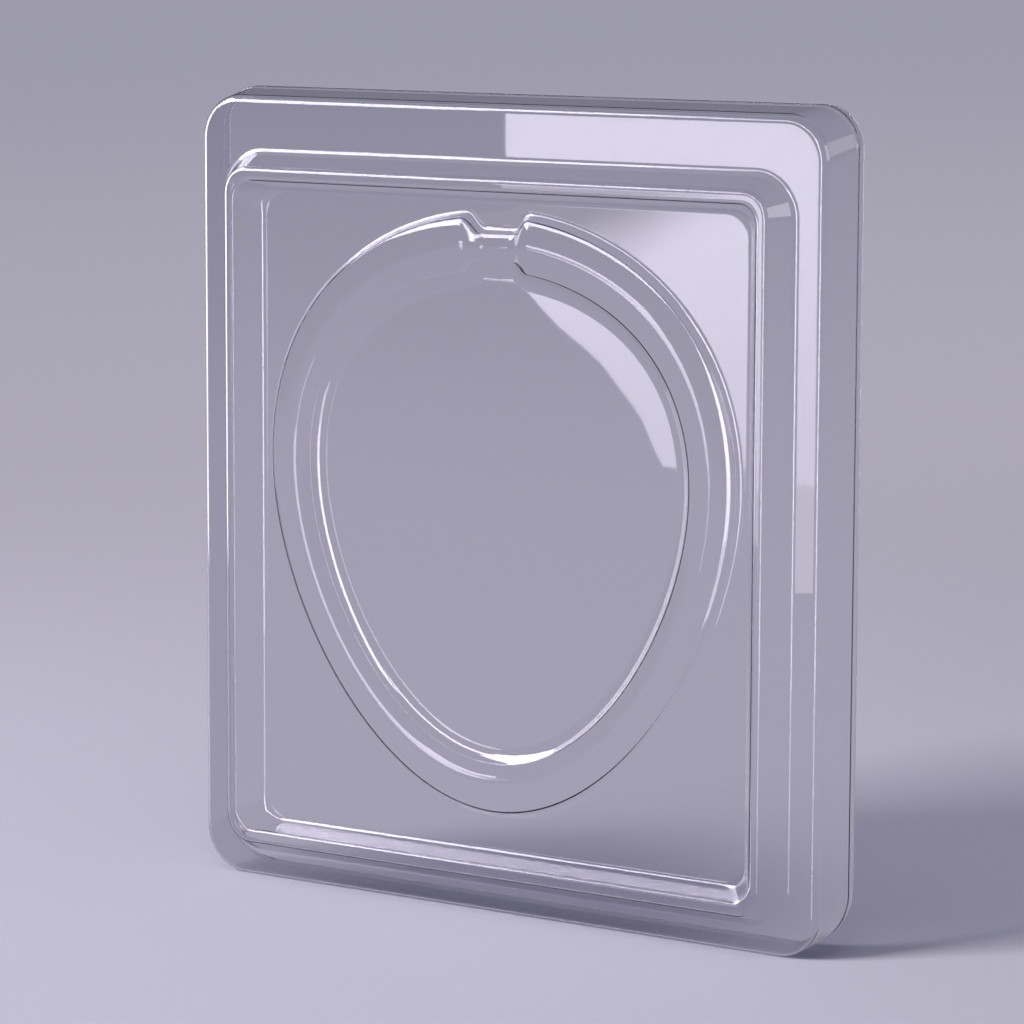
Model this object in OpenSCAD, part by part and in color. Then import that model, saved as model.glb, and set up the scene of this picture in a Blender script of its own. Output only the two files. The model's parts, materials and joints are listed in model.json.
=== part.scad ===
// Clear retail blister, formed from one sheet of film over a mould.
// A shallow tray, open at the rear, whose front carries a raised frame round a recessed panel.
// An egg-shaped ring is pressed forward out of the panel and dips to a narrow neck at its top.

/* [Front] */
// Width across the front, outside the side walls
body_w = 200; // [160:1:260]
// Height of the front, from its base to its top
body_h = 218.7; // [180:0.1:280]
// Radius of the four outer corners
corner_r = 12.5; // [8:0.5:20]
// Radius of the two top corners at the cut edge
rear_top_r = 11; // [8:0.5:20]
// Radius of the two base corners at the cut edge
rear_base_r = 17; // [8:0.5:24]
// Rounding between the front and the walls
edge_r = 2.5; // [1.5:0.1:4]
// Thickness of the formed film
film_t = 0.5; // [0.3:0.05:0.8]

/* [Walls] */
// Depth from the front border back to the cut edge
wall_depth = 15.4; // [10:0.1:30]
// Flare of the side and top walls towards the rear, in degrees
wall_flare = 8; // [1:0.1:12]
// Depth of the straight band behind the step
rim_depth = 2.4; // [1:0.1:5]
// Outward step between the wall and the band
rim_step = 0.45; // [0.1:0.05:1.5]
// Depth over which the step slopes out
step_slope = 0.6; // [0.3:0.1:1.5]
// Lean of the front while the base wall stands flat, in degrees
face_lean = 3.5; // [2:0.5:4]

/* [Raised frame] */
// Border between a side of the body and the foot of the frame
border_side = 8; // [5:0.1:14]
// Border between the top of the body and the foot of the frame
border_top = 14; // [5:0.1:24]
// Border between the base of the body and the foot of the frame
border_base = 6; // [5:0.1:14]
// Height of the frame before the border
frame_rise = 7.2; // [4:0.1:12]
// Distance across the frame's outer slope
frame_run = 6.7; // [4:0.1:10]
// Hollow radius at the foot of the frame
frame_foot_r = 2.4; // [0.8:0.1:4]
// Round radius at the crest of the frame
frame_crest_r = 2; // [0.8:0.1:4]
// Width of the flat crest
crest_w = 1.1; // [0.4:0.1:4]
// Radius of the frame's corners at its foot
frame_corner_r = 12.8; // [11:0.1:20]

/* [Recessed panel] */
// Depth of the panel behind the crest
panel_depth = 7.2; // [4:0.1:12]
// Distance across the slope at the sides of the panel
panel_run_side = 7.2; // [5:0.1:12]
// Distance across the slope at the top and base of the panel
panel_run_end = 4.5; // [4:0.1:12]
// Round radius where the slope leaves the crest
lip_r = 1.3; // [0.8:0.1:2]
// Hollow radius at the foot of the side slopes
side_foot_r = 3; // [0.5:0.1:4]
// Hollow radius at the foot of the top and base slopes
end_foot_r = 1.9; // [0.5:0.1:4]
// Corner radius of the flat panel
panel_corner_r = 7; // [4:0.5:14]

/* [Ring] */
// Gap between the ring's foot and the panel's sides
ring_gap_side = 0.5; // [0.2:0.1:10]
// Gap between the ring's foot and the panel's top
ring_gap_top = 1.1; // [0.5:0.1:10]
// Gap between the ring's foot and the panel's base
ring_gap_base = 7.6; // [0.5:0.1:20]
// Width of the ring's band at its sides
band_side = 13.1; // [8:0.1:20]
// Width of the ring's band at its top
band_top = 14.3; // [8:0.1:20]
// Width of the ring's band at its base
band_base = 13.3; // [8:0.1:20]
// Taper of the ring's outer outline towards its base
outer_taper = 0.165; // [0:0.005:0.25]
// Taper of the ring's inner outline towards its base
inner_taper = 0.185; // [0:0.005:0.25]
// Fullness of both ends of the inner outline
inner_full = 0.027; // [0:0.001:0.06]

/* [Ring section] */
// Height of the band's two edges before the panel
edge_rise = 2; // [1:0.1:4]
// Height of the band's middle above its edges
dome_rise = 1.1; // [0.2:0.1:3]
// Width of the hollow slope outside the band
outer_foot = 2.4; // [1.5:0.1:4]
// Width of the hollow slope inside the band
inner_foot = 4.6; // [2:0.1:8]

/* [Neck] */
// Length of the neck's straight stretch
neck_w = 10.6; // [6:0.1:20]
// Length over which the band narrows on each side of the neck
neck_ramp = 5.2; // [3:0.1:10]
// Dip of the band's outer edge at the neck
neck_dip = 4.6; // [1:0.1:5]
// Lift of the band's inner edge at the neck
neck_lift = 2.4; // [0.5:0.1:4]
// Share of the band's height that is left at the neck
neck_height = 0.6; // [0.3:0.05:1]

/* [Smoothness] */
// Facets in each outer corner
corner_facets = 9; // [6:1:12]
// Facets round the ring
ring_facets = 104; // [72:8:120]
// Facets in each round and hollow of the walls
fold_facets = 4; // [2:1:5]
// Facets across the ring's dome
dome_facets = 5; // [3:1:7]

/* [Hidden] */

front_normal = 90;
quarter = 90;
film_color = [0.80, 0.80, 0.88, 0.45];

// Angle of a wall from the front plane, where it crosses run and rise between two rounds.
// Rounds that are too large for the wall shrink together.
function round_share(run, rise, r_sum) =
    min(1, 0.98 * (run * run + rise * rise) / (2 * rise * r_sum));
function wall_angle(run, rise, r_sum) =
    let (s = r_sum * round_share(run, rise, r_sum))
    atan2(rise - s, run) + asin(s / norm([run, rise - s]));

// A profile is a list of [inset, back, tilt]: the distance in from the body's outline, the depth
// behind the border, and the film's outward normal, from 0 straight out to 90 straight forward.
// A hollow has a negative radius.
function fold(inset, back, r, tilt_0, tilt_1) =
    [for (i = [0:fold_facets])
        let (tilt = tilt_0 + (tilt_1 - tilt_0) * i / fold_facets)
        [inset - r * cos(tilt), back - r * sin(tilt), tilt]];

// Wall that climbs forward, from a hollow foot to a round crest
function climb(inset, back, run, rise, foot_r, crest_r) =
    let (share = round_share(run, rise, foot_r + crest_r))
    let (tilt = front_normal - wall_angle(run, rise, foot_r + crest_r))
    concat(
        fold(inset, back - share * foot_r, -share * foot_r, front_normal, tilt),
        fold(inset + run, back - rise + share * crest_r, share * crest_r, tilt, front_normal));

// Wall that drops back, from a round lip to a hollow foot
function drop(inset, back, run, fall, top_r, foot_r) =
    let (share = round_share(run, fall, top_r + foot_r))
    let (tilt = front_normal + wall_angle(run, fall, top_r + foot_r))
    concat(
        fold(inset, back + share * top_r, share * top_r, front_normal, tilt),
        fold(inset + run, back + fall - share * foot_r, -share * foot_r, tilt, front_normal));

// Outer wall of the tray, from the cut edge to the front border
function tray_wall(flare, step) =
    let (start = [edge_r * (1 - cos(flare)), edge_r * (1 - sin(flare))])
    let (band_back = wall_depth - rim_depth)
    let (wall_back = band_back - step_slope)
    let (wall_inset = start[0] - (wall_back - start[1]) * tan(flare))
    let (step_tilt = (flare + atan2(step, step_slope)) / 2)
    let (band_inset = step > 0 ? wall_inset - step : start[0] - (band_back - start[1]) * tan(flare))
    let (edge_inset = step > 0 ? band_inset : start[0] - (wall_depth - start[1]) * tan(flare))
    concat(
        [[edge_inset, wall_depth, 0],
         [band_inset, band_back, step > 0 ? step_tilt : flare],
         [wall_inset, wall_back, step > 0 ? step_tilt : flare]],
        fold(edge_r, edge_r, edge_r, flare, front_normal));

// The whole way in from the cut edge to the panel, on one side of the pack
function wall_profile(flare, step, border, panel_run, panel_foot_r) =
    concat(
        tray_wall(flare, step),
        climb(border, 0, frame_run, frame_rise, frame_foot_r, frame_crest_r),
        drop(border + frame_run + crest_w, -frame_rise, panel_run, panel_depth, lip_r, panel_foot_r));

side_wall = wall_profile(wall_flare, rim_step, border_side, panel_run_side, side_foot_r);
top_wall = wall_profile(wall_flare, rim_step, border_top, panel_run_end, end_foot_r);
base_wall = wall_profile(-face_lean, 0, border_base, panel_run_end, end_foot_r);
wall_loops = len(side_wall);
tray_loops = len(tray_wall(0, 0));
crest_inset = border_side + frame_run + crest_w;
crest_corner_r = frame_corner_r - frame_run - crest_w;

// Corner radius of a loop: it opens from the front to the cut edge, follows the outline on the
// front, then the frame, and then turns to the panel's own
function loop_corner_r(k, rear_r) =
    let (inset = side_wall[k][0])
    let (rear_share = side_wall[k][1] / wall_depth)
    k < tray_loops ? corner_r - max(inset, 0) + (rear_r - corner_r) * rear_share
    : inset <= crest_inset ? frame_corner_r - (inset - border_side)
    : crest_corner_r + (panel_corner_r - crest_corner_r) * (inset - crest_inset) / panel_run_side;

// Places round a loop, from the middle of the top and then to the left: [direction, across, up]
outline = concat(
    [[90, 0, 1], [90, -0.5, 1]],
    [for (i = [0:corner_facets]) [90 + quarter * i / corner_facets, -1, 1]],
    [for (u = [0.5, 0, -0.5]) [180, -1, u]],
    [for (i = [0:corner_facets]) [180 + quarter * i / corner_facets, -1, -1]],
    [for (u = [-0.5, 0, 0.5]) [270, u, -1]],
    [for (i = [0:corner_facets]) [270 + quarter * i / corner_facets, 1, -1]],
    [for (u = [-0.5, 0, 0.5]) [0, 1, u]],
    [for (i = [0:corner_facets]) [quarter * i / corner_facets, 1, 1]],
    [[90, 0.5, 1]]);
outline_points = len(outline);

// Point of a wall loop, at a depth into the film from its front skin
function wall_point(k, place, depth) =
    let (side_share = abs(front_normal - place[0] % 180) / quarter)
    let (end = place[2] > 0 ? top_wall[k] : base_wall[k])
    let (back = side_share * side_wall[k][1] + (1 - side_share) * end[1])
    let (tilt = side_share * side_wall[k][2] + (1 - side_share) * end[2])
    let (top_r = loop_corner_r(k, rear_top_r))
    let (base_r = loop_corner_r(k, rear_base_r))
    let (r = place[2] > 0 ? top_r : base_r)
    let (reach = r - depth * cos(tilt))
    let (half_w = body_w / 2 - side_wall[k][0] - r)
    let (low = base_wall[k][0] + base_r)
    let (high = body_h - top_wall[k][0] - top_r)
    [half_w * place[1] + reach * cos(place[0]),
     back + depth * sin(tilt),
     low + (high - low) * (1 + place[2]) / 2 + reach * sin(place[0])];

// Room for the ring on the flat panel
panel_half_w = body_w / 2 - crest_inset - panel_run_side;
panel_base = border_base + frame_run + crest_w + panel_run_end;
panel_top = body_h - border_top - frame_run - crest_w - panel_run_end;
panel_back = panel_depth - frame_rise;
ring_base = panel_base + ring_gap_base + outer_foot;
ring_top = panel_top - ring_gap_top - outer_foot;
ring_half_w = panel_half_w - ring_gap_side - outer_foot;
ring_mid = (ring_base + ring_top) / 2;

// Egg outline: [half width, half height, middle, taper, fullness]
function egg_bulge(taper, full) =
    max([for (t = [0:1:180]) sin(t) * (1 + taper * cos(t) + full * cos(t) * cos(t))]);
outer_egg = [
    ring_half_w / egg_bulge(outer_taper, 0),
    (ring_top - ring_base) / 2,
    ring_mid,
    outer_taper,
    0];
inner_egg = [
    (ring_half_w - band_side) / egg_bulge(inner_taper, inner_full),
    (ring_top - band_top - ring_base - band_base) / 2,
    (ring_top - band_top + ring_base + band_base) / 2,
    inner_taper,
    inner_full];
function egg(e, t) =
    [-e[0] * sin(t) * (1 + e[3] * cos(t) + e[4] * cos(t) * cos(t)), e[2] + e[1] * cos(t)];

// Share of the neck at a place: 1 along its straight stretch, easing to 0 past its ramps
function ease(u) = u * u * (3 - 2 * u);
function neck_share(p) =
    p[1] < ring_mid ? 0 : ease(min(1, max(0, 1 - (abs(p[0]) - neck_w / 2) / neck_ramp)));

// Turns round the ring, closer together at the neck and the base than at the sides
function ring_turn(i) =
    let (t = 360 * i / ring_facets)
    t - (180 / PI) * (0.22 * sin(2 * t) + 0.2 * sin(t));
function outer_edge(i) =
    let (p = egg(outer_egg, ring_turn(i)))
    let (flat = outer_egg[2] + outer_egg[1] - neck_dip)
    let (share = neck_share(p))
    [p[0], p[1] * (1 - share) + flat * share];
function inner_edge(i) =
    let (p = egg(inner_egg, ring_turn(i)))
    let (flat = inner_egg[2] + inner_egg[1] + neck_lift)
    let (share = neck_share(p))
    [p[0], p[1] * (1 - share) + flat * share];
outer_edges = [for (i = [0:ring_facets - 1]) outer_edge(i)];
inner_edges = [for (i = [0:ring_facets - 1]) inner_edge(i)];

// Outward direction of an edge, square to the line between its neighbours
function edge_out(edges, i) =
    let (n = len(edges))
    let (d = edges[(i + 1) % n] - edges[(i + n - 1) % n])
    [-d[1], d[0]] / -norm(d);

// Hollow slope between the panel and a band edge, as [distance from the edge, rise, slope]
function hollow(run, rise) =
    let (turn = 2 * atan2(rise, run))
    let (r = run / sin(turn))
    [for (i = [0:fold_facets])
        let (a = turn * i / fold_facets)
        [run - r * sin(a), r * (1 - cos(a)), a]];

// Section across the ring at one turn, from its outer foot to its inner foot.
// Each station is [place, rise, outward direction, tilt].
function ring_section(i) =
    let (p_out = outer_edges[i])
    let (p_in = inner_edges[i])
    let (height = 1 - (1 - neck_height) * neck_share(p_out))
    let (rise = edge_rise * height)
    let (dome = dome_rise * height)
    let (out_dir = edge_out(outer_edges, i))
    let (in_dir = edge_out(inner_edges, i))
    let (across = p_out - p_in)
    let (edge_slope = atan(4 * dome / norm(across)))
    let (outer = hollow(outer_foot, rise))
    let (inner = hollow(inner_foot, rise))
    let (last = fold_facets)
    concat(
        [for (j = [0:last - 1]) [p_out + outer[j][0] * out_dir, outer[j][1], out_dir, 90 - outer[j][2]]],
        [[p_out, rise, out_dir, 90 - (outer[last][2] + edge_slope) / 2]],
        [for (j = [1:dome_facets - 1])
            let (u = j / dome_facets)
            [p_out - u * across, rise + 4 * dome * u * (1 - u), across / norm(across),
             90 - atan(4 * dome * (1 - 2 * u) / norm(across))]],
        [[p_in, rise, in_dir, 90 + (inner[last][2] + edge_slope) / 2]],
        [for (j = [last - 1:-1:0]) [p_in - inner[j][0] * in_dir, inner[j][1], in_dir, 90 + inner[j][2]]]);
ring_sections = [for (i = [0:ring_facets - 1]) ring_section(i)];
ring_loops = len(ring_sections[0]);

function ring_point(k, i, depth) =
    let (s = ring_sections[i][k])
    let (flat = s[0] - depth * cos(s[3]) * s[2])
    [flat[0], panel_back - s[1] + depth * sin(s[3]), flat[1]];

// One skin of the film: the wall loops, the ring loops and the middle of the disc
function skin_points(depth) = concat(
    [for (k = [0:wall_loops - 1]) for (place = outline) wall_point(k, place, depth)],
    [for (k = [0:ring_loops - 1]) for (i = [0:ring_facets - 1]) ring_point(k, i, depth)],
    [[0, panel_back + depth, inner_egg[2]]]);

// Two facets between neighbouring loops of n points, for each step round them
function loop_facets(first, loops, n) =
    [for (k = [0:loops - 2]) for (i = [0:n - 1])
        let (a = first + k * n + i)
        let (b = first + k * n + (i + 1) % n)
        each [[a, a + n, b + n], [a, b + n, b]]];

// Facets of the flat panel, between its outline and the ring's foot. Each edge of the outline
// takes the ring point that lies nearest to it, and the rest fan out from the edge's two ends.
function heading(p) = (atan2(p[2] - ring_mid, p[0]) + 270) % 360;
panel_edge = [for (place = outline) wall_point(wall_loops - 1, place, 0)];
ring_foot = [for (i = [0:ring_facets - 1]) ring_point(0, i, 0)];
passed = [for (p = panel_edge) len([for (q = ring_foot) if (heading(q) <= heading(p)) 1]) - 1];
function nearest(a, b, from, to) =
    let (d = b - a)
    let (reach = [for (j = [from:to]) ring_foot[j % ring_facets] * [d[2], 0, -d[0]]])
    from + search(max(reach), reach)[0];
function panel_facets(first_wall, first_ring) =
    [for (i = [0:outline_points - 1])
        let (next = (i + 1) % outline_points)
        let (from = passed[i])
        let (to = next == 0 ? ring_facets : passed[next])
        let (mid = nearest(panel_edge[i], panel_edge[next], from, to))
        let (a = first_wall + i)
        let (b = first_wall + next)
        each concat(
            [[a, first_ring + mid % ring_facets, b]],
            [for (j = [from:1:mid - 1])
                [a, first_ring + j % ring_facets, first_ring + (j + 1) % ring_facets]],
            [for (j = [mid:1:to - 1])
                [b, first_ring + j % ring_facets, first_ring + (j + 1) % ring_facets]])];

first_ring = wall_loops * outline_points;
middle = first_ring + ring_loops * ring_facets;
last_loop = middle - ring_facets;
skin_size = middle + 1;
front_facets = concat(
    loop_facets(0, wall_loops, outline_points),
    panel_facets((wall_loops - 1) * outline_points, first_ring),
    loop_facets(first_ring, ring_loops, ring_facets),
    [for (i = [0:ring_facets - 1]) [last_loop + i, middle, last_loop + (i + 1) % ring_facets]]);
rear_facets = [for (f = front_facets) [f[0] + skin_size, f[2] + skin_size, f[1] + skin_size]];
cut_edge_facets = [for (i = [0:outline_points - 1])
    let (next = (i + 1) % outline_points)
    each [[i, next, skin_size + next], [i, skin_size + next, skin_size + i]]];

// The pack leans back on its flat base wall, whose middle is the origin
base_front = [edge_r * (1 + sin(face_lean)), edge_r * (1 - cos(face_lean))];
base_mid_back = (base_front[0] + wall_depth) / 2;
base_mid_up = base_front[1] + (base_mid_back - base_front[0]) * tan(face_lean);

module blister_shell() {
    color(film_color)
    rotate([-face_lean, 0, 0])
    translate([0, -base_mid_back, -base_mid_up])
    polyhedron(
        points = concat(skin_points(0), skin_points(film_t)),
        faces = concat(front_facets, rear_facets, cut_edge_facets),
        convexity = 12);
}

blister_shell();
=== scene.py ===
"""Looks of a clear formed blister pack: one sheet of film that stands on its base wall."""

import json
import math

import bpy
import numpy as np
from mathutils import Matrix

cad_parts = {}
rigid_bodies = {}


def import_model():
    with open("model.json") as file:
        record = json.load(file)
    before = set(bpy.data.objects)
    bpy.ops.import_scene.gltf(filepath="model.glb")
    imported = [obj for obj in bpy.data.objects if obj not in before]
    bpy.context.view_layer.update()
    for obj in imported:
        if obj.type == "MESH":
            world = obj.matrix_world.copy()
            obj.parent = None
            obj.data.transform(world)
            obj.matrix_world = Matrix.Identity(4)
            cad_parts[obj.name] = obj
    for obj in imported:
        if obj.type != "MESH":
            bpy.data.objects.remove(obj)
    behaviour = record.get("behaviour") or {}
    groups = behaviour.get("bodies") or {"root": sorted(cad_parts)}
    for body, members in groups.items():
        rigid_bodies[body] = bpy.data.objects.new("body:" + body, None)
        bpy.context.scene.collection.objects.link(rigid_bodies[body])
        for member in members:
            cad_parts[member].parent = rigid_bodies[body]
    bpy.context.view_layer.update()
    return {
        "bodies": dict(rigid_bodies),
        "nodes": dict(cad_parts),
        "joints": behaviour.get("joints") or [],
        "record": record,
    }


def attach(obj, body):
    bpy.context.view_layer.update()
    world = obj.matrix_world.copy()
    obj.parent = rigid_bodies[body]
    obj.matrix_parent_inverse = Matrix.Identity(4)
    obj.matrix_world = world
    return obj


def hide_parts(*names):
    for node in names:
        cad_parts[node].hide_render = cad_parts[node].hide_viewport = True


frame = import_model()

# ---------------------------------------------------------------- camera
# A long lens, a little above the pack and well to its right, turned with the photograph.

camera = bpy.data.objects.new("camera", bpy.data.cameras.new("camera"))
bpy.context.scene.collection.objects.link(camera)
camera.data.sensor_width = 36
camera.data.lens = 153.326
camera.data.clip_start = 0.05
camera.data.clip_end = 30
camera.location = (0.649889, -0.945637, 0.330026)
camera.rotation_euler = (1.380650, 0.030827, 0.594053)
bpy.context.scene.camera = camera

# ---------------------------------------------------------------- film
# One sheet of clear polyester, drawn warm over a mould and cut free along its rear edge.
# It is carried from the cut edge over the walls, the raised frame, the recessed panel and the
# pressed ring to the middle of the disc, once for each skin, and the two skins meet at the cut.

# Sizes in millimetres and degrees, on the pack before it leans. An inset goes in from the edge
# of the front, and a depth goes back from the front border.
BODY_W = 200.0
BODY_H = 218.7
CORNER_R = 12.5
REAR_TOP_R = 11.0  # the corners at the cut edge
REAR_BASE_R = 17.0
EDGE_R = 2.5  # between the front and the walls
FILM_T = 0.5
WALL_DEPTH = 15.4
WALL_FLARE = 8.0
RIM_DEPTH = 2.4  # the straight band behind the step
RIM_STEP = 0.45
STEP_SLOPE = 0.6
STEP_ROUND_R = 0.6
STEP_HOLLOW_R = 0.25
FACE_LEAN = 3.5

BORDER_SIDE = 8.0
BORDER_TOP = 14.0
BORDER_BASE = 6.0
FRAME_RISE = 7.2
FRAME_RUN = 6.7
FRAME_FOOT_R = 2.4
FRAME_CREST_R = 2.0
CREST_W = 1.1
FRAME_CORNER_R = 12.8

PANEL_DEPTH = 7.2
PANEL_RUN_SIDE = 7.2
PANEL_RUN_END = 4.5  # at the panel's top and base
LIP_R = 1.3
SIDE_FOOT_R = 3.0
END_FOOT_R = 1.9
PANEL_CORNER_R = 7.0

# Stations in a wide bend, in a narrow one, in a corner of the outline and in half the dome.
FOLD = 12
NARROW_FOLD = 5
CORNER = 20
HALF_DOME = 6
GUARD = 0.12  # from a bend to the station beside it
BASE_GUARD = 0.3  # the same where the base wall goes on without a step
BEND_ROOM = 0.98  # share of a wall that its two bends may fill


def fold(inset, back, r, tilt_0, tilt_1, n=FOLD):
    """Stations round a bend: from its centre line, r times the cosine of the tilt outwards and r
    times its sine forwards, as the film's normal turns evenly from one tilt to the other."""
    tilt = np.linspace(tilt_0, tilt_1, n + 1)
    turn = np.radians(tilt)
    return np.stack([inset - r * np.cos(turn), back - r * np.sin(turn), tilt], 1)


def rounded(inset, back, r, tilt_0, tilt_1):
    """A narrow bend between two flats that would meet at a point: its centre lies off the point by
    the radius over the cosine of half the turn."""
    middle = math.radians((tilt_0 + tilt_1) / 2)
    off = r / math.cos(math.radians((tilt_1 - tilt_0) / 2))
    across, along = off * math.cos(middle), off * math.sin(middle)
    return fold(inset + across, back + along, r, tilt_0, tilt_1, NARROW_FOLD)


def guarded(bends):
    """Bends in a row, with one station more just before and just after them, along the flats that
    they join, so that the flats' shading stays flat."""
    rows = np.concatenate(bends)
    ends = rows[[0, -1]]
    tilt = np.radians(ends[:, 2])
    along = np.stack([np.sin(tilt), -np.cos(tilt), [0, 0]], 1)
    before, after = ends + np.array([[-GUARD], [GUARD]]) * along
    return np.concatenate([before[None], rows, after[None]])


def between_bends(run, rise, r_sum):
    """Share that two radii keep so that both fit the wall, and the wall's angle: the angle of its
    chord, shortened by the radii, plus the angle whose sine is the radii over that chord."""
    share = min(1, BEND_ROOM * (run**2 + rise**2) / (2 * rise * r_sum))
    s = r_sum * share
    angle = math.atan2(rise - s, run) + math.asin(s / math.hypot(run, rise - s))
    return share, math.degrees(angle)


def climb(inset, back, run, rise, foot_r, crest_r):
    """Wall that comes forward from a hollow foot to a round crest."""
    share, angle = between_bends(run, rise, foot_r + crest_r)
    foot = fold(inset, back - share * foot_r, -share * foot_r, 90, 90 - angle)
    crest = fold(inset + run, back - rise + share * crest_r, share * crest_r, 90 - angle, 90)
    return guarded([foot, crest])


def drop(inset, back, run, fall, lip_r, foot_r):
    """Wall that goes back from a round lip to a hollow foot."""
    share, angle = between_bends(run, fall, lip_r + foot_r)
    lip = fold(inset, back + share * lip_r, share * lip_r, 90, 90 + angle)
    foot = fold(inset + run, back + fall - share * foot_r, -share * foot_r, 90 + angle, 90)
    return guarded([lip, foot])


def tray_wall(flare, step):
    """Cut edge, straight band, step and flared wall, then the bend on to the front border. The
    wall runs out by the tangent of the flare times its depth. Where there is no step, it runs
    straight on to the cut edge, with as many stations as the band and the step have."""
    turn = math.radians(flare)
    start = (EDGE_R * (1 - math.cos(turn)), EDGE_R * (1 - math.sin(turn)))

    def inset_at(back):
        return start[0] - (back - start[1]) * math.tan(turn)

    band_back = WALL_DEPTH - RIM_DEPTH
    wall_back = band_back - STEP_SLOPE
    if step:
        slope = math.degrees(math.atan2(step, STEP_SLOPE))
        wall_end = inset_at(wall_back)
        rows = [
            np.array([[wall_end - step, WALL_DEPTH, 0]]),
            guarded([rounded(wall_end - step, band_back, STEP_ROUND_R, 0, slope)]),
            guarded([rounded(wall_end, wall_back, -STEP_HOLLOW_R, slope, flare)]),
        ]
    else:
        back = np.linspace(WALL_DEPTH, wall_back - BASE_GUARD, 1 + 2 * (NARROW_FOLD + 3))
        rows = [np.stack([inset_at(back), back, np.full_like(back, flare)], 1)]
    return np.concatenate(rows + [guarded([fold(EDGE_R, EDGE_R, EDGE_R, flare, 90)])])


def wall_profile(flare, step, border, run, foot_r):
    """Stations of [inset, back, tilt] from the cut edge to the flat panel, on one side."""
    crest_end = border + FRAME_RUN + CREST_W
    return np.concatenate([
        tray_wall(flare, step),
        climb(border, 0, FRAME_RUN, FRAME_RISE, FRAME_FOOT_R, FRAME_CREST_R),
        drop(crest_end, -FRAME_RISE, run, PANEL_DEPTH, LIP_R, foot_r),
    ])


side_wall = wall_profile(WALL_FLARE, RIM_STEP, BORDER_SIDE, PANEL_RUN_SIDE, SIDE_FOOT_R)
top_wall = wall_profile(WALL_FLARE, RIM_STEP, BORDER_TOP, PANEL_RUN_END, END_FOOT_R)
base_wall = wall_profile(-FACE_LEAN, 0, BORDER_BASE, PANEL_RUN_END, END_FOOT_R)
crest_inset = BORDER_SIDE + FRAME_RUN + CREST_W
tray_stations = len(tray_wall(WALL_FLARE, RIM_STEP))

# Places round the outline, which starts at the middle of the top, over the ring's neck. The
# top's are crowded there, so that the loops follow the neck.
TOP_PLACES = 65
SIDE_PLACES = 44
BASE_PLACES = 46
NECK_CROWD = 0.24
SIDE_END = 0.996  # the guard beside a corner, as a share of half the side


def corner_places(start, across, up):
    """A quarter turn round one corner, as rows of [direction, across, up]."""
    turn = np.linspace(start, start + 90, CORNER + 1)
    return np.stack([turn, np.full_like(turn, across), np.full_like(turn, up)], 1)


def side_places(direction, along, across=None, up=None):
    """Places along one straight side, as rows of [direction, across, up]."""
    one = np.ones_like(along)
    across = along if across is None else across * one
    up = along if up is None else up * one
    return np.stack([direction * one, across, up], 1)


def straight(n, crowd=0.0):
    """Places from 1 to -1 with a guard near each end: the even spacing less a sine of it, which
    brings them closer together in the middle."""
    u = np.linspace(1, -1, n + 2)[1:-1]
    return np.concatenate([[SIDE_END], u - crowd * np.sin(math.pi * u), [-SIDE_END]])


top_along = straight(TOP_PLACES, NECK_CROWD)
half = len(top_along) // 2
places = np.concatenate([
    side_places(90, top_along[half:], up=1),
    corner_places(90, -1, 1),
    side_places(180, straight(SIDE_PLACES), across=-1),
    corner_places(180, -1, -1),
    side_places(270, straight(BASE_PLACES)[::-1], up=-1),
    corner_places(270, 1, -1),
    side_places(0, straight(SIDE_PLACES)[::-1], across=1),
    corner_places(0, 1, 1),
    side_places(90, top_along[:half], up=1),
])


def corner_radii(rear_r):
    """Corner radius of each loop: it opens towards the cut edge, follows the outline on the front,
    then the frame, and then turns to the panel's own."""
    inset, back = side_wall[:, 0], side_wall[:, 1]
    tray = CORNER_R - np.maximum(inset, 0) + (rear_r - CORNER_R) * back / WALL_DEPTH
    crest_r = FRAME_CORNER_R - FRAME_RUN - CREST_W
    frame = FRAME_CORNER_R - (inset - BORDER_SIDE)
    recess = crest_r + (PANEL_CORNER_R - crest_r) * (inset - crest_inset) / PANEL_RUN_SIDE
    front = np.where(inset <= crest_inset, frame, recess)
    return np.where(np.arange(len(inset)) < tray_stations, tray, front)[:, None]


def wall_skin(depth):
    """Wall loops at a depth into the film. Each point stands on a rounded rectangle whose corners
    blend the side's profile into the end's by their direction, and goes in against its normal."""
    direction, across, up = places.T
    share = (np.abs(90 - direction % 180) / 90)[None, :, None]
    top = up > 0
    end = np.where(top[None, :, None], top_wall[:, None], base_wall[:, None])
    blend = share * side_wall[:, None] + (1 - share) * end
    back, tilt = blend[..., 1], np.radians(blend[..., 2])
    top_r, base_r = corner_radii(REAR_TOP_R), corner_radii(REAR_BASE_R)
    r = np.where(top, top_r, base_r)
    reach = r - depth * np.cos(tilt)
    low = base_wall[:, :1] + base_r
    high = BODY_H - top_wall[:, :1] - top_r
    turn = np.radians(direction)
    x = (BODY_W / 2 - side_wall[:, :1] - r) * across + reach * np.cos(turn)
    z = low + (high - low) * (1 + up) / 2 + reach * np.sin(turn)
    return np.stack([x, back + depth * np.sin(tilt), z], -1)


# The ring is a domed band between two egg-shaped edges, with a hollow foot on either side.
RING_GAP_SIDE = 0.5
RING_GAP_TOP = 1.1
RING_GAP_BASE = 7.6
BAND_SIDE = 13.1  # width of the band
BAND_TOP = 14.3
BAND_BASE = 13.3
OUTER_TAPER = 0.165
INNER_TAPER = 0.185
INNER_FULL = 0.027
EDGE_RISE = 2.0
DOME_RISE = 1.1
OUTER_FOOT = 2.4  # width of the hollow foot
INNER_FOOT = 4.6
BAND_EDGE_R = 0.65
NECK_W = 10.6
NECK_RAMP = 5.2
NECK_DIP = 4.6
NECK_LIFT = 2.4
NECK_HEIGHT = 0.6  # share of the band's height that is left at the neck
HEADING_REACH = 0.05  # radians
TURN_SAMPLES = 4000

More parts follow.
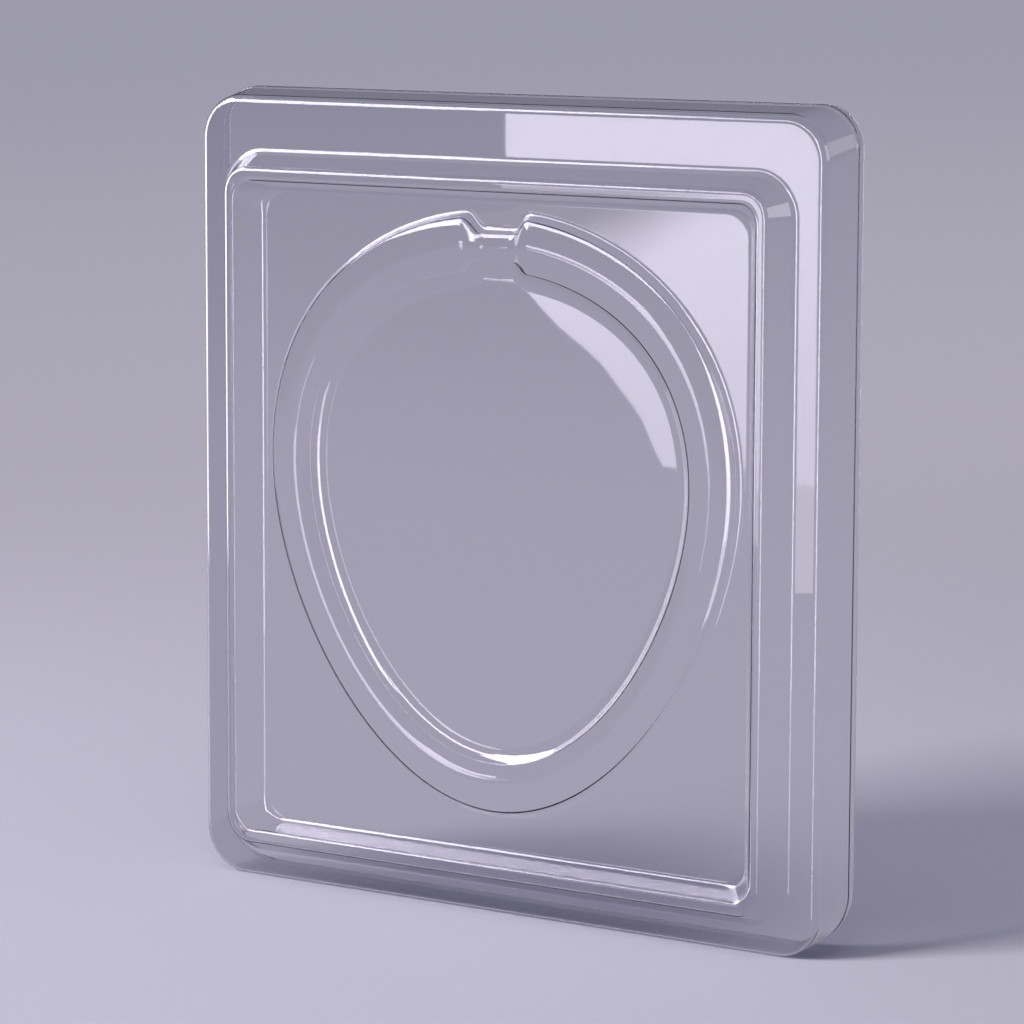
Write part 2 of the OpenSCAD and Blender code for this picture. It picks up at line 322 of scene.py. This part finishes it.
panel_back = PANEL_DEPTH - FRAME_RISE
panel_half_w = BODY_W / 2 - crest_inset - PANEL_RUN_SIDE
ring_base = BORDER_BASE + FRAME_RUN + CREST_W + PANEL_RUN_END + RING_GAP_BASE + OUTER_FOOT
ring_top = BODY_H - BORDER_TOP - FRAME_RUN - CREST_W - PANEL_RUN_END - RING_GAP_TOP - OUTER_FOOT
ring_half_w = panel_half_w - RING_GAP_SIDE - OUTER_FOOT
ring_mid = (ring_base + ring_top) / 2
outer_ends = (ring_base, ring_top)
inner_ends = (ring_base + BAND_BASE, ring_top - BAND_TOP)


def egg_edge(half_w, ends, taper, full, neck, turn):
    """Egg: half width times the sine, widened upwards by the taper times the cosine and the
    fullness times its square, and the cosine for height. Its top turns flat along the neck."""
    def across(t):
        return np.sin(t) * (1 + taper * np.cos(t) + full * np.cos(t) ** 2)

    widest = across(np.radians(np.arange(181))).max()
    x = -half_w / widest * across(turn)
    z = (ends[0] + ends[1]) / 2 + (ends[1] - ends[0]) / 2 * np.cos(turn)
    share = neck_share(x, z)
    return np.stack([x, z * (1 - share) + (ends[1] + neck) * share], -1)


def neck_share(x, z):
    """1 along the neck's straight stretch, easing to 0 past its ramps."""
    u = np.clip(1 - (np.abs(x) - NECK_W / 2) / NECK_RAMP, 0, 1)
    return np.where(z < ring_mid, 0, u * u * (3 - 2 * u))


def outer_edge(turn):
    """The band's outer edge, which dips at the neck."""
    return egg_edge(ring_half_w, outer_ends, OUTER_TAPER, 0, -NECK_DIP, turn)


def inner_edge(turn):
    """The band's inner edge, which lifts at the neck."""
    return egg_edge(ring_half_w - BAND_SIDE, inner_ends, INNER_TAPER, INNER_FULL, NECK_LIFT, turn)


def edge_out(edge, turn):
    """Outward direction, square to the line between the edge's points a little before and after,
    so that it eases through the neck's ramps."""
    d = edge(turn + HEADING_REACH) - edge(turn - HEADING_REACH)
    return np.stack([d[..., 1], -d[..., 0]], -1) / np.linalg.norm(d, axis=-1, keepdims=True)


def place_turns():
    """Turn round the ring that has the same heading as each place of the panel's outline."""
    def heading(x, z):
        return (np.degrees(np.arctan2(z - ring_mid, x)) + 270) % 360

    t = np.linspace(0, 2 * math.pi, TURN_SAMPLES + 1)[:-1]
    foot = outer_edge(t) + OUTER_FOOT * edge_out(outer_edge, t)
    ring = heading(foot[:, 0], foot[:, 1])
    ring[0] = 0
    rim = wall_skin(0)[-1]
    return np.interp(heading(rim[:, 0], rim[:, 2]), ring, t)


turns = place_turns()


def band_half(run, rise, dome, width):
    """Half a section of the band, from its foot to its crown, as rows of distance out from the
    band's edge, rise and slope: a hollow arc that starts flat a run away, a narrow round and half
    a parabola. The round's centre lies its radius under the parabola's tangent and as far from the
    arc's centre as both radii together, which is a square equation. Three passes let the tangent
    follow the point where the round ends."""
    r = run / np.sin(2 * np.arctan2(rise, run))
    u = np.zeros_like(rise)
    for _ in range(3):
        end = np.arctan(4 * dome * (1 - 2 * u) / width)
        t = np.tan(end)
        b = rise + 4 * dome * u * (1 - u) - u * width * t - BAND_EDGE_R / np.cos(end) - r
        m = run + t * b
        c = run**2 + b**2 - (r + BAND_EDGE_R) ** 2
        x = (m - np.sqrt(m**2 - (1 + t**2) * c)) / (1 + t**2)
        u = -(x + BAND_EDGE_R * np.sin(end)) / width
    h = b + r - t * x
    start = np.arctan2(run - x, r - h)
    a = start * np.linspace(0, 1, FOLD + 1)[:, None]
    turn = start + (end - start) * np.linspace(0, 1, NARROW_FOLD + 1)[1:, None]
    v = u + (0.5 - u) * np.linspace(0, 1, HALF_DOME + 1)[1:, None]
    crown = rise + 4 * dome * v * (1 - v)
    flat = np.zeros_like(a[:1])
    return np.concatenate([
        np.stack([flat + run + GUARD, flat, flat], -1),
        np.stack([run - r * np.sin(a), r * (1 - np.cos(a)), a], -1),
        np.stack([x + BAND_EDGE_R * np.sin(turn), h + BAND_EDGE_R * np.cos(turn), turn], -1),
        np.stack([-v * width, crown, np.arctan(4 * dome * (1 - 2 * v) / width)], -1),
    ])


def band_side(section, edge, foot_way, crown_way, depth):
    """Loops of half the band at a depth into the film. They run square to the band's edge, and
    turn to run straight across the band as they go round its edge."""
    share = np.clip((np.arange(len(section)) - FOLD - 1) / NARROW_FOLD, 0, 1)[:, None, None]
    way = foot_way * (1 - share) + crown_way * share
    way = way / np.linalg.norm(way, axis=-1, keepdims=True)
    flat = edge + (section[..., :1] - depth * np.sin(section[..., 2:])) * way
    back = panel_back - section[..., 1] + depth * np.cos(section[..., 2])
    return np.stack([flat[..., 0], back, flat[..., 1]], -1)


def ring_skin(depth):
    """Ring loops at a depth into the film, from the outer foot over the crown to the inner foot."""
    p_out, p_in = outer_edge(turns), inner_edge(turns)
    height = 1 - (1 - NECK_HEIGHT) * neck_share(p_out[:, 0], p_out[:, 1])
    rise, dome = EDGE_RISE * height, DOME_RISE * height
    width = np.linalg.norm(p_out - p_in, axis=1)
    across = (p_out - p_in) / width[:, None]
    outer_half = band_half(OUTER_FOOT, rise, dome, width)
    inner_half = band_half(INNER_FOOT, rise, dome, width)
    outer = band_side(outer_half, p_out, edge_out(outer_edge, turns), across, depth)
    inner = band_side(inner_half, p_in, -edge_out(inner_edge, turns), -across, depth)
    return np.concatenate([outer, inner[-2::-1]])


# Loops on the flats, which need few.
PANEL_LOOPS = 4
DISC_LOOPS = 9


def between(a, b, n):
    """Loops between two loops, evenly spaced."""
    u = np.linspace(0, 1, n + 2)[1:-1, None, None]
    return a[None] * (1 - u) + b[None] * u


def leaned(points):
    """Millimetres on the upright pack to metres in the row frame: the middle of the base wall goes
    to the origin, and the front leans back about X."""
    turn = math.radians(FACE_LEAN)
    front = (EDGE_R * (1 + math.sin(turn)), EDGE_R * (1 - math.cos(turn)))
    back = (front[0] + WALL_DEPTH) / 2
    up = front[1] + (back - front[0]) * math.tan(turn)
    x, y, z = (points - np.array([0, back, up])).T / 1000
    leaned_y = y * math.cos(turn) + z * math.sin(turn)
    leaned_z = z * math.cos(turn) - y * math.sin(turn)
    return np.stack([x, leaned_y, leaned_z], 1)


def skin(depth):
    """All the loops of one skin, from the cut edge to the last loop round the disc's middle, and
    that middle."""
    wall, ring = wall_skin(depth), ring_skin(depth)
    middle = np.array([0, panel_back + depth, sum(inner_ends) / 2])
    panel = between(wall[-1], ring[0], PANEL_LOOPS)
    disc = between(ring[-1], np.broadcast_to(middle, ring[-1].shape), DISC_LOOPS)
    return np.concatenate([wall, panel, ring, disc]), middle


def grid_quads(loops, n, first, turned):
    """Quads between neighbouring loops of n points, closed round the loop."""
    k, i = np.meshgrid(np.arange(loops - 1), np.arange(n), indexing="ij")
    a, b = first + k * n + i, first + k * n + (i + 1) % n
    quads = np.stack([a, b, b + n, a + n], -1).reshape(-1, 4)
    return quads[:, ::-1] if turned else quads


def make_film():
    """The closed film: a grid of quads for each skin, a fan at each middle and a band of quads
    along the cut edge, which is sharp on both sides."""
    front, front_middle = skin(0)
    rear, rear_middle = skin(FILM_T)
    loops, n = front.shape[:2]
    size = loops * n
    middles = np.stack([front_middle, rear_middle])
    points = np.concatenate([front.reshape(-1, 3), rear.reshape(-1, 3), middles])
    i = np.arange(n)
    j = (i + 1) % n
    last = (loops - 1) * n
    cut = np.stack([i, size + i, size + j, j], -1)
    quads = np.concatenate([grid_quads(loops, n, 0, False), grid_quads(loops, n, size, True), cut])
    fans = np.concatenate([
        np.stack([last + j, np.full(n, 2 * size), last + i], -1),
        np.stack([size + last + i, np.full(n, 2 * size + 1), size + last + j], -1),
    ])
    mesh = bpy.data.meshes.new("film")
    mesh.from_pydata(leaned(points).tolist(), [], quads.tolist() + fans.tolist())
    mesh.polygons.foreach_set("use_smooth", np.ones(len(mesh.polygons), bool))
    ends = np.empty(2 * len(mesh.edges), np.int32)
    mesh.edges.foreach_get("vertices", ends)
    ends = ends.reshape(-1, 2)
    on_cut = (ends % size < n) & (ends < 2 * size)
    sharp = on_cut.all(1) & (ends[:, 0] // size == ends[:, 1] // size)
    mesh.edges.foreach_set("use_edge_sharp", sharp)
    mesh.update()
    film = bpy.data.objects.new("film", mesh)
    bpy.context.scene.collection.objects.link(film)
    return film


film = make_film()


class Paint:
    """A socket of a node tree: arithmetic on it adds Math nodes."""

    def __init__(self, tree, socket):
        self.tree, self.socket = tree, socket

    def node(self, kind, settings=(), **values):
        """A node of a kind, its settings first and then its sockets' values or links, by name or,
        as s0, s1 and so on, by number."""
        n = self.tree.nodes.new(kind)
        for name, value in dict(settings).items():
            setattr(n, name, value)
        for name, value in values.items():
            by_number = name[0] == "s" and name[1:].isdigit()
            key = int(name[1:]) if by_number else name.replace("_", " ")
            if isinstance(value, Paint):
                self.tree.links.new(value.socket, n.inputs[key])
            else:
                n.inputs[key].default_value = value
        return n

    def out(self, n, name=0):
        """An output of a node, wrapped."""
        return Paint(self.tree, n.outputs[name])

    def maths(self, operation, a, b):
        """One Math node."""
        return self.out(self.node("ShaderNodeMath", {"operation": operation}, s0=a, s1=b))

    def __add__(self, other):
        return self.maths("ADD", self, other)

    def __sub__(self, other):
        return self.maths("SUBTRACT", self, other)

    def __mul__(self, other):
        return self.maths("MULTIPLY", self, other)

    def __rsub__(self, other):
        return self.maths("SUBTRACT", other, self)

    __radd__ = __add__
    __rmul__ = __mul__

    def step(self, low, high):
        """0 below low and 1 above high, eased between them."""
        eased = {"interpolation_type": "SMOOTHSTEP"}
        n = self.node("ShaderNodeMapRange", eased, s0=self, s1=low, s2=high, s3=0.0, s4=1.0)
        return self.out(n)

    def blend(self, share, a, b):
        """Colour a where the share is 0 and colour b where it is 1."""
        return self.out(self.node("ShaderNodeMix", {"data_type": "RGBA"}, s0=share, s6=a, s7=b), 2)


def new_material(name):
    """An empty material, with its tree wrapped for building on."""
    material = bpy.data.materials.new(name)
    material.use_nodes = True
    material.node_tree.nodes.clear()
    return material, Paint(material.node_tree, None)


FILM_TINT = (0.855, 0.85, 0.90, 1)
FILM_INDEX = 1.57  # how strongly clear polyester bends light
FILM_ROUGHNESS = 0.012
CUT_FROST = 0.2  # roughness that the cut edge adds
CUT_BACK = (0.00630, 0.00636)  # metres behind the base wall's middle where the cut edge starts
RIPPLE_SCALE = 26.0
RIPPLE_STRENGTH = 0.10
RIPPLE_HEIGHT = 0.0004
LAMP_SHARE = (0.62, 0.62, 0.66, 1)  # what the film lets through of a lamp's light


def clear_film():
    """Clear polyester with a faint violet-grey tint. Drawing leaves slow ripples in it, and the
    knife leaves the cut edge frosted. Lamps' light goes through it a little dimmed."""
    material, p = new_material("clear_film")
    spot = p.out(p.node("ShaderNodeTexCoord"), "Object")
    turn = math.radians(FACE_LEAN)
    apart = p.node("ShaderNodeSeparateXYZ", s0=spot)
    back = p.out(apart, 1) * math.cos(turn) - p.out(apart, 2) * math.sin(turn)
    ripple = p.node("ShaderNodeTexNoise", s2=RIPPLE_SCALE, Detail=1.0, Vector=spot)
    bump = p.node(
        "ShaderNodeBump",
        Strength=RIPPLE_STRENGTH,
        Distance=RIPPLE_HEIGHT,
        Height=p.out(ripple),
    )
    body = p.node(
        "ShaderNodeBsdfPrincipled",
        Base_Color=FILM_TINT,
        Roughness=back.step(*CUT_BACK) * CUT_FROST + FILM_ROUGHNESS,
        IOR=FILM_INDEX,
        Transmission_Weight=1.0,
        Normal=p.out(bump),
    )
    dimmed = p.node("ShaderNodeBsdfTransparent", Color=LAMP_SHARE)
    to_lamp = p.out(p.node("ShaderNodeLightPath"), "Is Shadow Ray")
    mix = p.node("ShaderNodeMixShader", s0=to_lamp, s1=p.out(body), s2=p.out(dimmed))
    p.node("ShaderNodeOutputMaterial", Surface=p.out(mix))
    return material


film.data.materials.append(clear_film())
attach(film, "root")
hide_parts("blister_shell")

# ---------------------------------------------------------------- floor
# A plain pale board that runs back out of sight, and takes the pack's shadow close to the pack.
# Further out it is a painted glow: painted light of the lit board's tone, dimming with distance
# into the backdrop's tone, which also paints over the pack's shadow where the board is seen through
# the film. The film doesn't mirror it, because the front softbox reaches below it: the studio's
# lower half stands in there.

BOARD_COLOUR = (0.50, 0.484, 0.58, 1)
BOARD_ROUGHNESS = 0.6
PAINTED_LAMP_TONE = (0.425, 0.404, 0.488, 1)  # painted light: the lit board's tone, glowing near the pack where the lamps' light gives way
FAR_COLOUR = (0.338, 0.330, 0.412, 1)  # the backdrop's plain tone
EASED_TO_FAR = (0.2, 3.0)  # distances in metres from the pack's middle, as the next two
BOARD_END = (0.26, 0.80)
# painted light: how near and how strongly the glow paints over the pack's shadow seen through the
# film
BOARD_END_THROUGH = (0.03, 0.12)
SHADOW_PAINTED_OVER_SHARE = 0.85


def floor_paint():
    """Pale lavender-grey board, lit by the lamps near the pack. Away from the pack, by the distance
    from its middle, it turns into a painted glow: painted light of the lit board's tone that eases
    into the plain tone of the backdrop, for the camera. It does so sooner, and most of the way, for
    what is seen through the film, where it paints over the pack's shadow behind the film."""
    material, p = new_material("floor")
    spot = p.out(p.node("ShaderNodeTexCoord"), "Object")
    away = p.out(p.node("ShaderNodeVectorMath", {"operation": "LENGTH"}, s0=spot), "Value")
    seen = p.node("ShaderNodeLightPath")
    near = p.node(
        "ShaderNodeBsdfPrincipled",
        Base_Color=BOARD_COLOUR,
        Roughness=BOARD_ROUGHNESS,
        Specular_IOR_Level=0.0,
    )
    # painted light: the glow's tone, the lit board's near the pack, dimming into the backdrop's
    # further out
    tone = p.blend(away.step(*EASED_TO_FAR), PAINTED_LAMP_TONE, FAR_COLOUR)
    far = p.node("ShaderNodeEmission", Color=tone)
    straight_on = away.step(*BOARD_END) * p.out(seen, "Is Camera Ray")
    # painted light: seen through the film, the glow paints over the pack's shadow behind it
    through = away.step(*BOARD_END_THROUGH) * p.out(seen, "Is Transmission Ray") * SHADOW_PAINTED_OVER_SHARE
    share = p.maths("MAXIMUM", straight_on, through)
    mix = p.node("ShaderNodeMixShader", s0=share, s1=p.out(near), s2=p.out(far))
    p.node("ShaderNodeOutputMaterial", Surface=p.out(mix))
    return material


floor_mesh = bpy.data.meshes.new("floor")
floor_mesh.from_pydata([(-12, -6, 0), (12, -6, 0), (12, 14, 0), (-12, 14, 0)], [], [(0, 1, 2, 3)])
floor = bpy.data.objects.new("floor", floor_mesh)
bpy.context.scene.collection.objects.link(floor)
floor_mesh.materials.append(floor_paint())
floor.visible_glossy = False

# ---------------------------------------------------------------- lamps and lit cloths
# Two lamps light the board and throw the shadow. Lit cloths stand round the pack, and nothing
# shows them but the film, which mirrors them as highlights.


def lamp(name, place, aim, size, power, colour):
    """An area lamp that looks from a place to an aim: tipped from straight down by the angle whose
    tangent is the level distance over the drop, and then turned to the aim's bearing."""
    data = bpy.data.lights.new(name, "AREA")
    data.shape, data.size, data.size_y = "RECTANGLE", size[0], size[1]
    data.energy, data.color = power, colour
    ob = bpy.data.objects.new(name, data)
    bpy.context.scene.collection.objects.link(ob)
    ob.location = place
    way = np.array(aim, float) - np.array(place, float)
    tip = math.atan2(math.hypot(way[0], way[1]), -way[2])
    ob.rotation_euler = (tip, 0, math.atan2(-way[0], way[1]))
    ob.visible_glossy = ob.visible_transmission = False


lamp("key", (-1.6, -1.7, 1.75), (0, 0, 0), (0.95, 0.95), 104, (1, 0.985, 1))
lamp("top", (0.1, -0.6, 1.9), (0, -0.3, 0), (1.4, 1.0), 9, (0.98, 0.98, 1))

GLOW_COLOUR = (0.93, 0.875, 1)
GLOW_LOW = 0.7  # share of the glow that is left at the floor
GLOW_GAIN = 0.35  # and what the height adds to it
GLOW_HEIGHTS = (-0.02, 0.22)

# The shaded part of the front softbox, in metres up its cloth and to its right.
SHADE_STARTS = (0.116, 0.130)
SHADE_ENDS = (0.170, 0.186)
SHADE_SLANT = 0.55
SHADE_SIDE = (-0.180, -0.122)


def cloth_glow(name, strength, right, shaded):
    """Light from a lit cloth that is a third dimmer towards the floor, and is seen only mirrored.
    The front one is shaded where the panel's top mirrors it: between two heights, and less
    towards its lower right, by a share of its width coordinate less its height."""
    material, p = new_material(name)
    spot = p.node("ShaderNodeSeparateXYZ", s0=p.out(p.node("ShaderNodeTexCoord"), "Object"))
    across = p.out(spot, 0) * right[0] + p.out(spot, 1) * right[1]
    up = p.out(spot, 2)
    level = up.step(*SHADE_STARTS) * (1 - up.step(*SHADE_ENDS))
    shade = level * (1 - (across * SHADE_SLANT - up).step(*SHADE_SIDE))
    glow = (1 - shade * shaded) * (up.step(*GLOW_HEIGHTS) * GLOW_GAIN + GLOW_LOW)
    colour = p.node("ShaderNodeVectorMath", {"operation": "SCALE"}, s0=GLOW_COLOUR, Scale=glow)
    lit = p.node("ShaderNodeEmission", Color=p.out(colour), Strength=strength)
    clear = p.node("ShaderNodeBsdfTransparent")
    mirrored = p.maths("MINIMUM", p.out(p.node("ShaderNodeLightPath"), "Glossy Depth"), 1.0)
    mix = p.node("ShaderNodeMixShader", s0=mirrored, s1=p.out(clear), s2=p.out(lit))
    p.node("ShaderNodeOutputMaterial", Surface=p.out(mix))
    material.cycles.emission_sampling = "NONE"
    return material


def cloth(name, azimuth, distance, outline, strength, shaded=0.0):
    """A flat lit cloth that stands upright at a distance from the pack, on a bearing from the
    front. Its outline is given as millimetres to the right of the bearing and above the floor."""
    turn = math.radians(azimuth)
    out = np.array([math.sin(turn), -math.cos(turn), 0])
    right = np.array([-out[1], out[0], 0])
    up = np.array([0, 0, 1])
    across, above = np.array(outline, float).T[..., None]
    points = out * distance + right * across / 1000 + up * above / 1000
    mesh = bpy.data.meshes.new(name)
    mesh.from_pydata(points.tolist(), [], [tuple(range(len(points)))])
    mesh.materials.append(cloth_glow(name, strength, right, shaded))
    ob = bpy.data.objects.new(name, mesh)
    bpy.context.scene.collection.objects.link(ob)
    ob.visible_camera = ob.visible_diffuse = ob.visible_shadow = False


def oblong(half_w, low, high):
    """Outline of an upright oblong."""
    return [(-half_w, low), (half_w, low), (half_w, high), (-half_w, high)]


SOFTBOX_OUTLINE = [
    (-82, 240), (-81, 193), (-70, 165), (-105, 157), (-105, 119), (-69, 117), (-44, 92),
    (-19, 69), (7, 36), (24, 9), (71, 8), (100, -67), (134, -67), (134, 240),
]

cloth("front_softbox", -31, 1.5, SOFTBOX_OUTLINE, 5.0, shaded=0.9)
cloth("strip", 12, 0.6, oblong(60, -120, 520), 9.0)
cloth("upper_front_cloth", -30, 1.0, oblong(700, 650, 860), 7.0)
cloth("upper_left_cloth", -65, 1.0, oblong(520, 560, 1150), 9.0)
cloth("left_cloth", -90, 0.7, oblong(200, -120, 420), 2.5)
cloth("right_cloth", 90, 0.7, oblong(230, 240, 590), 2.2)
cloth("far_right_cloth", 130, 0.8, oblong(200, 260, 560), 1.0)

# ---------------------------------------------------------------- studio
# What lies beyond the board: the backdrop's plain tone for the eye, straight on or through the
# film, and for what the film mirrors a dim room, with the board's tone below the horizon.

MIRRORED_BOARD = (0.36, 0.35, 0.43, 1)
DIM_ROOM = (0.08, 0.08, 0.10, 1)
HORIZON = (-0.10, 0.0)

studio = bpy.data.worlds.new("studio")
bpy.context.scene.world = studio
studio.use_nodes = True
studio.node_tree.nodes.clear()
p = Paint(studio.node_tree, None)
ray = p.node("ShaderNodeLightPath")
eyes = p.maths("MAXIMUM", p.out(ray, "Is Camera Ray"), p.out(ray, "Is Transmission Ray"))
way = p.node("ShaderNodeSeparateXYZ", s0=p.out(p.node("ShaderNodeTexCoord"), "Generated"))
room = p.blend(p.out(way, 2).step(*HORIZON), MIRRORED_BOARD, DIM_ROOM)
background = p.node("ShaderNodeBackground", Color=p.blend(eyes, room, FAR_COLOUR))
p.node("ShaderNodeOutputWorld", Surface=p.out(background))

bpy.context.scene.view_settings.view_transform = "Standard"
